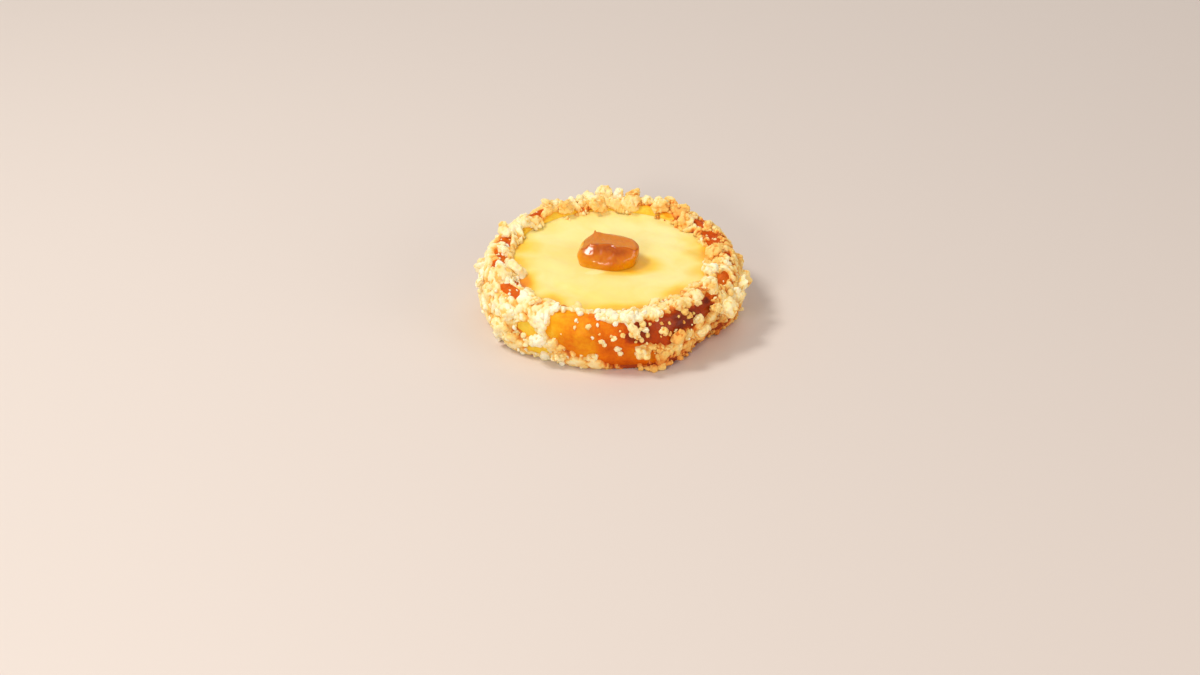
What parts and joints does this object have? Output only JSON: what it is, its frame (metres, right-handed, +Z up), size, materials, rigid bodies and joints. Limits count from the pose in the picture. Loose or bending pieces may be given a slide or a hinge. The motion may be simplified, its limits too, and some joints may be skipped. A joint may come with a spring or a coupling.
{
  "type": "cheese pastry",
  "caption": "Round cheese pastry with a raised dough rim under baked streusel, a smooth cheese filling and a caramel dollop; a single serving that stands on its flat base.",
  "frame": {"origin": "centre of the dough's round flat underside, on the axis that the pastry was shaped around", "axes": "+Z up through the filling and the caramel; -Y is the front, where the rim is egg-washed and bare of crumbs; +X is the pastry's right as seen from the front"},
  "size_m": [0.1045, 0.1036, 0.0319],
  "materials": {
    "dough": "egg-washed, half gloss",
    "cheese": "smooth, satin",
    "caramel": "wet gloss",
    "streusel": "rough, crumbly"
  },
  "bodies": {
    "root": {"caramel_dollop": "caramel", "cheese_filling": "cheese", "dough_base": "dough", "streusel_crest_01": "streusel", "streusel_crest_02": "streusel", "streusel_crest_03": "streusel", "streusel_crest_04": "streusel", "streusel_crest_05": "streusel", "streusel_crest_06": "streusel", "streusel_crest_07": "streusel", "streusel_crest_08": "streusel", "streusel_crest_09": "streusel", "streusel_crest_10": "streusel", "streusel_crest_11": "streusel", "streusel_crest_12": "streusel", "streusel_crest_13": "streusel", "streusel_crest_14": "streusel", "streusel_crest_15": "streusel", "streusel_crest_16": "streusel", "streusel_crest_17": "streusel", "streusel_crest_18": "streusel", "streusel_crest_19": "streusel", "streusel_crest_20": "streusel", "streusel_crest_21": "streusel", "streusel_crest_22": "streusel", "streusel_crest_23": "streusel", "streusel_flank_01": "streusel", "streusel_flank_02": "streusel", "streusel_flank_03": "streusel", "streusel_flank_04": "streusel", "streusel_flank_05": "streusel", "streusel_flank_06": "streusel", "streusel_flank_07": "streusel", "streusel_flank_08": "streusel", "streusel_flank_09": "streusel", "streusel_flank_10": "streusel", "streusel_flank_11": "streusel", "streusel_flank_12": "streusel", "streusel_flank_13": "streusel", "streusel_flank_14": "streusel", "streusel_flank_15": "streusel", "streusel_flank_16": "streusel", "streusel_shoulder_01": "streusel", "streusel_shoulder_02": "streusel", "streusel_shoulder_03": "streusel", "streusel_shoulder_04": "streusel", "streusel_shoulder_05": "streusel", "streusel_shoulder_06": "streusel", "streusel_shoulder_07": "streusel", "streusel_shoulder_08": "streusel", "streusel_shoulder_09": "streusel", "streusel_shoulder_10": "streusel", "streusel_shoulder_11": "streusel", "streusel_shoulder_12": "streusel", "streusel_shoulder_13": "streusel", "streusel_shoulder_14": "streusel", "streusel_shoulder_15": "streusel", "streusel_shoulder_16": "streusel"}
  },
  "joints": []
}
